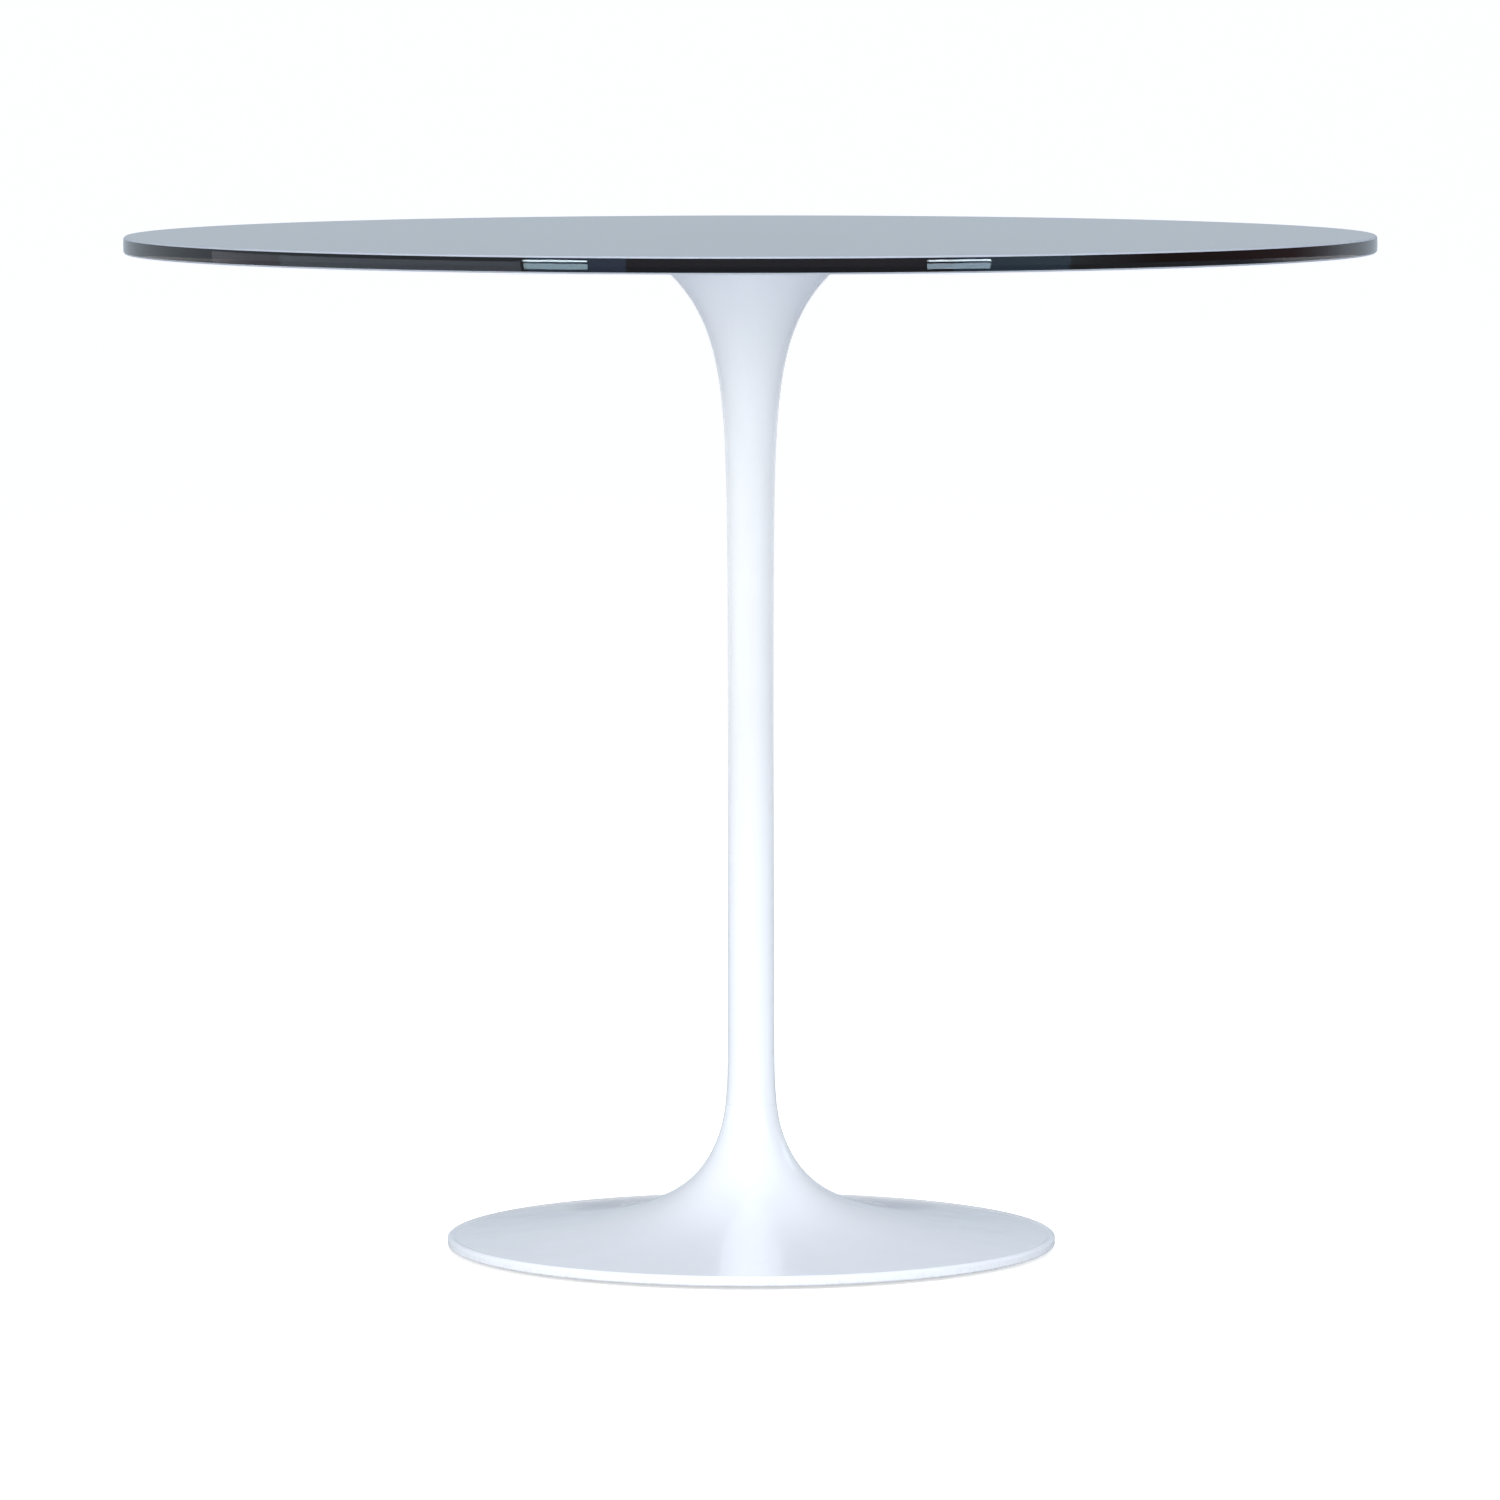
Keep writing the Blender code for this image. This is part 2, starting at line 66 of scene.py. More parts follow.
# The inside of the column and of the base
COLUMN_WALL = 0.0040
BASE_WALL = 0.0045
WALL_MARGIN = 0.001           # where the inner skin stops short of a flat face
SEAM_GAP = 0.00005            # the hairline where the column stands on the base
SPIGOT_RADIUS = 0.0135
SPIGOT_BORE = 0.0095
BORE_CONE_START = 0.006       # above the seam, where the spigot's bore opens out
BORE_CONE_END = 0.012
SEAT_INNER_RADIUS = 0.0525
SEAT_LAND_DEPTH = 0.0055
SHELL_TOP = 0.060
CLAMP_FACE_HEIGHT = 0.042
CLAMP_FACE_INSET = 0.004
ROD_CLEARANCE_RADIUS = 0.0075
BALLAST_BOSS_RADIUS = 0.0075
BALLAST_BOSS_TOP = 0.0214
GLIDE_BOSS_RADIUS = 0.0115
GLIDE_BOSS_TOP = 0.0108

# Sizes of the glass and the hardware that a node's box doesn't give
GAP = 0.0003                  # clearance between two pieces that touch
GLASS_ARRIS = 0.0012
GLASS_BELLY = 0.00015         # how far the polished edge bulges in its middle
HUB_BOSS_RADIUS = 0.0135
HUB_FLANGE_THICKNESS = 0.005
SCREW_RADIUS = 0.0030
SCREW_HEAD_RADIUS = 0.0060
SCREW_HEAD_LAND = 0.0004
SOCKET_RADIUS = 0.0023
SOCKET_DEPTH = 0.0018
ROD_PITCH = 0.00175
ROD_LOWER_THREAD = 0.060
ROD_UPPER_THREAD = 0.030
SPLIT_DEGREES = 9.0           # the slot of the spring washer
NUT_BORE_CHAMFER = 0.0007
BALLAST_INNER = 0.050
STUD_PITCH = 0.0010
STUD_PLAIN = 0.0006           # the unthreaded start of a glide's stud
GLIDE_HEAD_RADIUS = 0.0055
GLIDE_HEAD_THICKNESS = 0.0012
THREAD_DEPTH_SHARE = 0.61     # of the pitch

# Fillets
COARSE_FILLET = 0.0008
FINE_FILLET = 0.0005
SLIGHT_FILLET = 0.0003
DISH_EDGE_FILLET = 0.0012
BEAD_FILLET = 0.0020
RIM_SHOULDER_FILLET = 0.0012
RIM_FOOT_FILLET = 0.0016

# How pieces are cut
CUT_PAST = 0.001              # how far a cutter reaches past the face that it opens
COUNTERSINK_RISE = 0.0002     # a countersink's cutter stands this far out of the face
FLAT_BESIDE_FILLET = 0.3      # the flat that is kept next to a fillet, in its radii
TINY = 1e-6                   # lengths and angles under this count as nothing
WIDE_SIDES = 256
ROUND_SIDES = 128
FINE_SIDES = 64
SMALL_SIDES = 40


# ---------------------------------------------------------------- shape helpers

def node_size(name):
    """(radius, bottom, top) of a node. The radius holds for one that is on the table's axis."""
    low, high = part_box(name)
    return high.x, low.z, high.z


def node_place(name):
    """The middle of a node, at floor height."""
    low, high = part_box(name)
    return Vector(((low.x + high.x) / 2, (low.y + high.y) / 2, 0.0))


def places_of(name):
    """Where the four nodes of this name stand, at floor height."""
    return [node_place(f"{name}_{i}") for i in range(1, 5)]


def rounded(corners, closed=False, steps=5):
    """An outline from (radius, height, fillet) corners, with an arc wherever the fillet isn't 0.

    Next to each arc there is one more point on the straight part, which keeps that part flat
    when it is shaded smooth.
    """
    outline = []
    count = len(corners)
    for i, (r, z, fillet) in enumerate(corners):
        here = Vector((r, z))
        inside = closed or 0 < i < count - 1
        if fillet == 0 or not inside:
            outline.append((r, z))
            continue
        to_before = (Vector(corners[i - 1][:2]) - here).normalized()
        to_after = (Vector(corners[(i + 1) % count][:2]) - here).normalized()
        half_angle = to_before.angle(to_after) / 2
        reach = fillet / tan(half_angle)
        centre = here + (to_before + to_after).normalized() * (fillet / sin(half_angle))
        first = here + to_before * reach - centre
        last = here + to_after * reach - centre
        start_angle = atan2(first.y, first.x)
        swing = (atan2(last.y, last.x) - start_angle + pi) % (2 * pi) - pi
        outline.append(tuple(here + to_before * (reach + FLAT_BESIDE_FILLET * fillet)))
        for step in range(steps + 1):
            angle = start_angle + swing * step / steps
            outline.append((centre.x + fillet * cos(angle), centre.y + fillet * sin(angle)))
        outline.append(tuple(here + to_after * (reach + FLAT_BESIDE_FILLET * fillet)))
    return outline


def finish_mesh(mesh, sharp_degrees=32.0):
    """Faces out, smooth where the surface is round and sharp at real edges."""
    work = bmesh.new()
    work.from_mesh(mesh)
    bmesh.ops.recalc_face_normals(work, faces=work.faces)
    work.to_mesh(mesh)
    work.free()
    mesh.shade_smooth()
    mesh.set_sharp_from_angle(angle=radians(sharp_degrees))


def add_piece(name, mesh, place=(0.0, 0.0, 0.0)):
    """A new object in the scene, with its origin at the place."""
    piece = bpy.data.objects.new(name, mesh)
    piece.location = place
    bpy.context.scene.collection.objects.link(piece)
    return piece


def lathe(name, outline, sides, closed=False, start=0.0, turn=2 * pi, place=(0.0, 0.0, 0.0)):
    """A turned solid from (radius, height) points down its outer side.

    An open outline starts and ends on the axis; a closed one goes on up the bore. A turn of less
    than a full circle is capped at both ends.
    """
    full = turn > 2 * pi - TINY
    slices = sides if full else sides + 1
    work = bmesh.new()
    rings = []
    for r, z in outline:
        if r < TINY:
            rings.append([work.verts.new((0.0, 0.0, z))] * slices)
            continue
        angles = [start + turn * k / sides for k in range(slices)]
        rings.append([work.verts.new((r * cos(a), r * sin(a), z)) for a in angles])
    count = len(rings)
    for i in range(count if closed else count - 1):
        upper, lower = rings[i], rings[(i + 1) % count]
        for k in range(sides):
            after = (k + 1) % slices
            corners = [upper[k], upper[after], lower[after], lower[k]]
            work.faces.new(list(dict.fromkeys(corners)))
    if not full:
        work.faces.new([ring[0] for ring in rings])
        work.faces.new([ring[-1] for ring in rings])
    mesh = bpy.data.meshes.new(name)
    work.to_mesh(mesh)
    work.free()
    finish_mesh(mesh)
    return add_piece(name, mesh, place)


def post(name, radius, bottom, top, place):
    """A small upright cylinder: a boss, or the cutter of a hole."""
    return lathe(name, [(0.0, top), (radius, top), (radius, bottom), (0.0, bottom)], SMALL_SIDES,
                 place=place)


def threaded_bar(name, radius, bottom, top, pitch, threads, sides=FINE_SIDES):
    """A round bar with chamfered ends and real helical threads along each (bottom, top) stretch."""
    step_in_thread = pitch / 8
    step_in_plain = pitch * 6
    groove_half_width = 0.4
    depth = THREAD_DEPTH_SHARE * pitch
    heights = [bottom]
    while heights[-1] < top - TINY:
        cutting = any(low - pitch <= heights[-1] <= high + pitch for low, high in threads)
        step = step_in_thread if cutting else step_in_plain
        ahead = [low - pitch for low, _ in threads if low - pitch > heights[-1] + TINY]
        heights.append(min([heights[-1] + step, top] + ahead))
    work = bmesh.new()
    rings = []
    for z in heights:
        cutting = any(low <= z <= high for low, high in threads)
        ring = []
        for k in range(sides):
            angle = 2 * pi * k / sides
            phase = (z / pitch - k / sides) % 1.0
            share = max(0.0, 1.0 - abs(phase - 0.5) / groove_half_width) if cutting else 0.0
            end_room = min(z - bottom, top - z) + radius - depth
            r = min(radius - depth * share, end_room)
            ring.append(work.verts.new((r * cos(angle), r * sin(angle), z)))
        rings.append(ring)
    for upper, lower in zip(rings, rings[1:]):
        for k in range(sides):
            after = (k + 1) % sides
            work.faces.new([upper[k], upper[after], lower[after], lower[k]])
    work.faces.new(rings[0])
    work.faces.new(rings[-1])
    mesh = bpy.data.meshes.new(name)
    work.to_mesh(mesh)
    work.free()
    finish_mesh(mesh, sharp_degrees=40.0)
    return add_piece(name, mesh)


def carve(piece, tools, operation):
    """Add, take away or keep only what several tools cover, then throw the tools away."""
    group = bpy.data.collections.new("tools")
    bpy.context.scene.collection.children.link(group)
    for tool in tools:
        bpy.context.scene.collection.objects.unlink(tool)
        group.objects.link(tool)
    modifier = piece.modifiers.new("carve", "BOOLEAN")
    modifier.operation = operation
    modifier.solver = "EXACT"
    modifier.operand_type = "COLLECTION"
    modifier.collection = group
    graph = bpy.context.evaluated_depsgraph_get()
    mesh = bpy.data.meshes.new_from_object(piece.evaluated_get(graph))
    piece.modifiers.clear()
    piece.data = mesh
    for tool in tools:
        bpy.data.objects.remove(tool, do_unlink=True)
    bpy.data.collections.remove(group)
    finish_mesh(mesh)


def pedestal_radius(height):
    """Outer radius of the pedestal at a height: the stem, plus what each flare adds."""
    below_glass = GLASS_UNDERSIDE - height
    above_dish = max(height - DISH_EDGE_HEIGHT, 0.0)
    top_flare = exp(-below_glass / TOP_FLARE_LENGTH)
    dish = exp(-above_dish / DISH_LENGTH)
    neck = exp(-((above_dish / NECK_LENGTH) ** NECK_POWER))
    return (STEM_RADIUS
            + (TOP_FLARE_RADIUS - STEM_RADIUS) * top_flare
            + (DISH_EDGE_RADIUS - STEM_RADIUS) * (DISH_SHARE * dish + (1 - DISH_SHARE) * neck))


def pedestal_wall(height, wall):
    """The point under the skin at a height, one wall thickness in along the normal."""
    step = 0.0001
    slope = (pedestal_radius(height + step) - pedestal_radius(height - step)) / (2 * step)
    length = hypot(1.0, slope)
    return (pedestal_radius(height) - wall / length, height + wall * slope / length)


def spread(start, end, count, power=1.0):
    """Heights from start to end, closer together near start when power is over 1."""
    return [start + (end - start) * (i / (count - 1)) ** power for i in range(count)]


# ---------------------------------------------------------------- materials

def new_material(name):
    """A material with its node tree and its Principled shader."""
    material = bpy.data.materials.new(name)
    material.use_nodes = True
    return material, material.node_tree, material.node_tree.nodes["Principled BSDF"]


def coordinates(tree, stretch=(1.0, 1.0, 1.0)):
    """Object coordinates in metres from the piece's own origin, times the stretch."""
    source = tree.nodes.new("ShaderNodeTexCoord")
    mapping = tree.nodes.new("ShaderNodeMapping")
    mapping.inputs["Scale"].default_value = stretch
    tree.links.new(source.outputs["Object"], mapping.inputs["Vector"])
    return mapping.outputs["Vector"]


def noise(tree, where, grain, detail=3.0, roughness=0.5):
    """Noise whose features are about one grain across, in metres."""
    node = tree.nodes.new("ShaderNodeTexNoise")
    node.inputs["Scale"].default_value = 1.0 / grain
    node.inputs["Detail"].default_value = detail
    node.inputs["Roughness"].default_value = roughness
    tree.links.new(where, node.inputs["Vector"])
    return node.outputs["Fac"]


def between(tree, value, low, high, from_low=0.3, from_high=0.7):
    """A value between from_low and from_high, brought to the range from low to high."""
    node = tree.nodes.new("ShaderNodeMapRange")
    node.inputs["From Min"].default_value = from_low
    node.inputs["From Max"].default_value = from_high
    node.inputs["To Min"].default_value = low
    node.inputs["To Max"].default_value = high
    tree.links.new(value, node.inputs["Value"])
    return node.outputs["Result"]


def mixed(tree, factor, first, second):
    """A colour between two colours, which may be tuples or sockets."""
    node = tree.nodes.new("ShaderNodeMix")
    node.data_type = "RGBA"
    tree.links.new(factor, node.inputs["Factor"])
    # Inputs 6 and 7 and output 2 are the ones for colours
    for socket, colour in ((node.inputs[6], first), (node.inputs[7], second)):
        if isinstance(colour, tuple):
            socket.default_value = (*colour, 1.0)
        else:
            tree.links.new(colour, socket)
    return node.outputs[2]


def combined(tree, operation, first, second):
    """A Math node on two values, which may be numbers or sockets."""
    node = tree.nodes.new("ShaderNodeMath")
    node.operation = operation
    for socket, value in zip(node.inputs, (first, second)):
        if isinstance(value, (int, float)):
            socket.default_value = value
        else:
            tree.links.new(value, socket)
    return node.outputs[0]


def bumped(tree, height, relief):
    """A bump normal from a height between 0 and 1 that stands for a real relief in metres."""
    node = tree.nodes.new("ShaderNodeBump")
    node.inputs["Strength"].default_value = 1.0
    node.inputs["Distance"].default_value = relief
    tree.links.new(height, node.inputs["Height"])
    return node.outputs["Normal"]


def smoked_glass():
    """Grey glass, tinted by its depth, with faint wipe marks on the polish."""
    material, tree, shader = new_material("smoked_glass")
    shader.inputs["Base Color"].default_value = (1.0, 1.0, 1.0, 1.0)
    shader.inputs["Transmission Weight"].default_value = 1.0
    shader.inputs["IOR"].default_value = 1.52
    where = coordinates(tree, (1.0, 2.6, 1.0))
    wipes = noise(tree, where, 0.11, detail=5.0, roughness=0.62)
    tree.links.new(between(tree, wipes, 0.0, 0.022, 0.50, 0.78), shader.inputs["Roughness"])
    tint = tree.nodes.new("ShaderNodeVolumeAbsorption")
    tint.inputs["Color"].default_value = (0.0, 0.085, 0.165, 1.0)
    tint.inputs["Density"].default_value = 84.0
    tree.links.new(tint.outputs["Volume"], tree.nodes["Material Output"].inputs["Volume"])
    return material


def ground_glass():
    """The arris: ground, not polished, so it is a matt grey and catches the light."""
    material, tree, shader = new_material("ground_glass")
    where = coordinates(tree)
    grind = noise(tree, where, 0.004, detail=4.0)
    tree.links.new(mixed(tree, grind, (0.34, 0.37, 0.42), (0.45, 0.49, 0.54)),
                   shader.inputs["Base Color"])
    shader.inputs["IOR"].default_value = 1.52
    tree.links.new(between(tree, grind, 0.34, 0.50), shader.inputs["Roughness"])
    grit = noise(tree, where, 0.0005, detail=2.0)
    tree.links.new(bumped(tree, grit, 0.00001), shader.inputs["Normal"])
    return material


def white_lacquer():
    """Thick glossy white lacquer with a faint orange peel, and a little dust low on the rim."""
    material, tree, shader = new_material("white_lacquer")
    where = coordinates(tree)
    tone = noise(tree, where, 0.060, detail=4.0)
    clean = mixed(tree, tone, (0.850, 0.868, 0.895), (0.880, 0.896, 0.918))
    height = tree.nodes.new("ShaderNodeSeparateXYZ")
    tree.links.new(where, height.inputs["Vector"])
    low_down = between(tree, height.outputs["Z"], 0.55, 0.0, 0.003, 0.009)
    speckle = between(tree, noise(tree, where, 0.0035, detail=6.0, roughness=0.7), 0.0, 1.0,
                      0.48, 0.66)
    dust = combined(tree, "MULTIPLY", low_down, speckle)
    tree.links.new(mixed(tree, dust, clean, (0.62, 0.61, 0.59)), shader.inputs["Base Color"])
    matt = between(tree, noise(tree, where, 0.035, detail=5.0), 0.20, 0.26)
    tree.links.new(matt, shader.inputs["Roughness"])
    shader.inputs["Coat Weight"].default_value = 0.55
    shader.inputs["Coat Roughness"].default_value = 0.07
    peel = noise(tree, where, 0.005, detail=2.0)
    tree.links.new(bumped(tree, peel, 0.000004), shader.inputs["Normal"])
    return material


def clear_adhesive():
    """A cured clear film with a slight haze and small trapped bubbles."""
    material, tree, shader = new_material("clear_adhesive")
    where = coordinates(tree)
    haze = noise(tree, where, 0.018, detail=4.0)
    tree.links.new(mixed(tree, haze, (0.80, 0.82, 0.83), (0.90, 0.91, 0.92)),
                   shader.inputs["Base Color"])
    shader.inputs["Transmission Weight"].default_value = 1.0
    shader.inputs["IOR"].default_value = 1.45
    tree.links.new(between(tree, haze, 0.10, 0.30), shader.inputs["Roughness"])
    bubbles = tree.nodes.new("ShaderNodeTexVoronoi")
    bubbles.inputs["Scale"].default_value = 1.0 / 0.006
    tree.links.new(where, bubbles.inputs["Vector"])
    dots = between(tree, bubbles.outputs["Distance"], 1.0, 0.0, 0.06, 0.16)
    tree.links.new(bumped(tree, dots, 0.0001), shader.inputs["Normal"])
    return material


def turned_metal(name, dark, light, rough_low, rough_high, groove, relief):
    """Machined metal with fine tool rings around the table's axis and cloudy wear."""
    material, tree, shader = new_material(name)
    where = coordinates(tree)
    cloud = noise(tree, where, 0.020, detail=6.0, roughness=0.6)
    tree.links.new(mixed(tree, cloud, dark, light), shader.inputs["Base Color"])
    shader.inputs["Metallic"].default_value = 1.0
    rings = tree.nodes.new("ShaderNodeTexWave")
    rings.wave_type = "RINGS"
    rings.rings_direction = "Z"
    rings.inputs["Scale"].default_value = 0.314 / groove
    rings.inputs["Distortion"].default_value = 0.6
    rings.inputs["Detail"].default_value = 3.0
    tree.links.new(where, rings.inputs["Vector"])
    worn = combined(tree, "ADD", combined(tree, "MULTIPLY", rings.outputs["Fac"], 0.35),
                    combined(tree, "MULTIPLY", cloud, 0.65))
    tree.links.new(between(tree, worn, rough_low, rough_high), shader.inputs["Roughness"])
    tree.links.new(bumped(tree, rings.outputs["Fac"], relief), shader.inputs["Normal"])
    return material


def zinc_steel():
    """Bright zinc plating: bluish, with a fine spangle and dull patches from handling."""
    material, tree, shader = new_material("zinc_steel")
    where = coordinates(tree)
    patches = noise(tree, where, 0.008, detail=5.0, roughness=0.65)
    spangle = tree.nodes.new("ShaderNodeTexVoronoi")
    spangle.inputs["Scale"].default_value = 1.0 / 0.0012
    tree.links.new(where, spangle.inputs["Vector"])
    plating = mixed(tree, patches, (0.56, 0.59, 0.64), (0.74, 0.74, 0.71))
    tree.links.new(plating, shader.inputs["Base Color"])
    shader.inputs["Metallic"].default_value = 1.0
    tree.links.new(between(tree, patches, 0.24, 0.46), shader.inputs["Roughness"])
    tree.links.new(bumped(tree, spangle.outputs["Distance"], 0.00002),
                   shader.inputs["Normal"])
    return material


def raw_steel():
    """Mill scale on hot rolled steel: blue black, with brown rust coming through."""
    material, tree, shader = new_material("raw_steel")
    where = coordinates(tree)
    scale = noise(tree, where, 0.030, detail=8.0, roughness=0.7)
    rust = between(tree, noise(tree, where, 0.014, detail=9.0, roughness=0.72), 0.0, 1.0,
                   0.56, 0.70)
    bare = mixed(tree, scale, (0.10, 0.105, 0.12), (0.24, 0.24, 0.25))
    tree.links.new(mixed(tree, rust, bare, (0.20, 0.105, 0.060)), shader.inputs["Base Color"])
    tree.links.new(combined(tree, "SUBTRACT", 0.85, combined(tree, "MULTIPLY", rust, 0.75)),
                   shader.inputs["Metallic"])
    tree.links.new(between(tree, scale, 0.38, 0.66), shader.inputs["Roughness"])
    grit = noise(tree, where, 0.0012, detail=4.0)
    tree.links.new(bumped(tree, combined(tree, "ADD", grit, rust), 0.00006),
                   shader.inputs["Normal"])
    return material


def moulded(name, dark, light, rough_low, rough_high, grain, relief):
    """Moulded rubber or nylon: a matt skin with a fine spark-eroded grain."""
    material, tree, shader = new_material(name)
    where = coordinates(tree)
    bloom = noise(tree, where, 0.006, detail=5.0)
    tree.links.new(mixed(tree, bloom, dark, light), shader.inputs["Base Color"])
    tree.links.new(between(tree, bloom, rough_low, rough_high), shader.inputs["Roughness"])
    skin = noise(tree, where, grain, detail=3.0)
    tree.links.new(bumped(tree, skin, relief), shader.inputs["Normal"])
    return material


MATERIALS = {
    "smoked_glass": smoked_glass(),
    "clear_adhesive": clear_adhesive(),
    "white_lacquer": white_lacquer(),
    "satin_aluminium": turned_metal("satin_aluminium", (0.66, 0.67, 0.69), (0.80, 0.81, 0.82),
                                    0.26, 0.42, 0.0004, 0.00001),
    "zinc_steel": zinc_steel(),
    "raw_steel": raw_steel(),
    "seat_rubber": moulded("seat_rubber", (0.018, 0.018, 0.019), (0.036, 0.036, 0.037),
                           0.68, 0.86, 0.0007, 0.00003),
    "glide_nylon": moulded("glide_nylon", (0.040, 0.041, 0.045), (0.062, 0.063, 0.067),
                           0.36, 0.54, 0.0004, 0.00001),
}
GROUND_GLASS = ground_glass()


def stand_for(piece, node, slot, body="table"):
    """Give a piece its material and let it take a CAD node's place on that node's body."""
    piece.data.materials.clear()
    piece.data.materials.append(MATERIALS[slot])
    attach(piece, body)
    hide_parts(node)


# ---------------------------------------------------------------- the pieces

GLASS_RADIUS, GLASS_UNDERSIDE, TABLE_HEIGHT = node_size("glass_top")
RIM_RADIUS, RIM_UNDERSIDE, SEAM_HEIGHT = node_size("base_casting")
COLUMN_TOP = node_size("column")[2]


def glass_disc():
    """Float glass with a very slightly bellied polished edge and an arris on both sides."""
    steps = 8
    edge_bottom, edge_top = GLASS_UNDERSIDE + GLASS_ARRIS, TABLE_HEIGHT - GLASS_ARRIS
    edge = []
    for i in range(steps + 1):
        along = 2.0 * i / steps - 1.0
        height = edge_top + (edge_bottom - edge_top) * i / steps
        edge.append((GLASS_RADIUS - GLASS_BELLY * along ** 2, height))
    outline = [(0.0, TABLE_HEIGHT), (GLASS_RADIUS - GLASS_ARRIS, TABLE_HEIGHT), *edge,
               (GLASS_RADIUS - GLASS_ARRIS, GLASS_UNDERSIDE), (0.0, GLASS_UNDERSIDE)]
    disc = lathe("glass_disc", outline, WIDE_SIDES)
    stand_for(disc, "glass_top", "smoked_glass")
    disc.data.materials.append(GROUND_GLASS)
    for face in disc.data.polygons:
        # The two arrises are the only faces at a slant of about 45 degrees
        on_arris = 0.3 < abs(face.normal.z) < 0.9
        face.material_index = 1 if on_arris else 0


def adhesive_film():
    """The clear film that holds the glass to its plate."""
    radius, bottom, top = node_size("bond_film")
    outline = rounded([(0.0, top, 0), (radius, top, SLIGHT_FILLET),
                       (radius, bottom, SLIGHT_FILLET), (0.0, bottom, 0)])
    stand_for(lathe("adhesive_film", outline, ROUND_SIDES), "bond_film", "clear_adhesive")


def countersunk_outline(top, length, clearance=0.0):
    """A countersunk screw, or with some clearance its hole, with the flat head up."""
    shank = SCREW_RADIUS + clearance
    head = SCREW_HEAD_RADIUS + clearance
    cone_end = top - SCREW_HEAD_LAND - (head - shank)
    return [(0.0, top), (head, top), (head, top - SCREW_HEAD_LAND), (shank, cone_end),
            (shank, top - length), (0.0, top - length)]


def turned_over(outline, pivot):
    """The same outline upside down around the pivot height."""
    return [(r, 2 * pivot - z) for r, z in reversed(outline)]


def plate():
    """The turned aluminium disc under the glass, with four countersunk holes."""
    radius, bottom, top = node_size("support_plate")
    outline = rounded([(0.0, top, 0), (radius, top, COARSE_FILLET),
                       (radius, bottom, COARSE_FILLET), (0.0, bottom, 0)])
    piece = lathe("turned_plate", outline, ROUND_SIDES)
    hole = countersunk_outline(top + COUNTERSINK_RISE, top - bottom + 2 * CUT_PAST, GAP)
    holes = [lathe("hole", hole, SMALL_SIDES, place=place) for place in places_of("hub_screw")]
    carve(piece, holes, "DIFFERENCE")
    stand_for(piece, "support_plate", "satin_aluminium")


def hub():
    """The flanged boss under the plate that takes the tie rod."""
    radius, bottom, top = node_size("rod_hub")
    flange_bottom, flange_fillet = top - HUB_FLANGE_THICKNESS, 0.0007
    bore = node_size("tie_rod")[0] + GAP
    outline = rounded([(radius, top, FINE_FILLET), (radius, flange_bottom, flange_fillet),
                       (HUB_BOSS_RADIUS, flange_bottom, 0),
                       (HUB_BOSS_RADIUS, bottom, COARSE_FILLET),
                       (bore, bottom, FINE_FILLET), (bore, top, FINE_FILLET)], closed=True)
    piece = lathe("flanged_hub", outline, FINE_SIDES, closed=True)
    holes = [post("hole", SCREW_RADIUS + GAP, flange_bottom - CUT_PAST, top + CUT_PAST, place)
             for place in places_of("hub_screw")]
    carve(piece, holes, "DIFFERENCE")
    stand_for(piece, "rod_hub", "zinc_steel")


def screw(name, node, outline, head, socket_end):
    """A countersunk screw with a hexagon socket from its head to the socket's end."""
    piece = lathe(name, outline, SMALL_SIDES)
    outside = head + (head - socket_end)
    high, low = max(outside, socket_end), min(outside, socket_end)
    socket = [(0.0, high), (SOCKET_RADIUS, high), (SOCKET_RADIUS, low), (0.0, low)]
    carve(piece, [lathe("socket", socket, 6)], "DIFFERENCE")
    piece.location = node_place(node)
    stand_for(piece, node, "zinc_steel")


def screws():
    """The four screws of the hub, heads up, and the four of the ballast ring, heads down."""
    for i in range(1, 5):
        _, bottom, top = node_size(f"hub_screw_{i}")
        screw(f"hub_socket_screw_{i}", f"hub_screw_{i}", countersunk_outline(top, top - bottom),
              top, top - SOCKET_DEPTH)
        _, bottom, top = node_size(f"ballast_screw_{i}")
        outline = turned_over(countersunk_outline(bottom, top - bottom), bottom)
        screw(f"ballast_socket_screw_{i}", f"ballast_screw_{i}", outline, bottom,
              bottom + SOCKET_DEPTH)


def seat():
    """The rubber ring that the plate sits on: 1 mm thick with rounded lips."""
    radius, bottom, top = node_size("seat_ring")
    inner, fillet = SEAT_INNER_RADIUS, 0.00035
    outline = rounded([(radius, top, fillet), (radius, bottom, fillet), (inner, bottom, fillet),
                       (inner, top, fillet)], closed=True)
    stand_for(lathe("rubber_seat", outline, ROUND_SIDES, closed=True), "seat_ring", "seat_rubber")


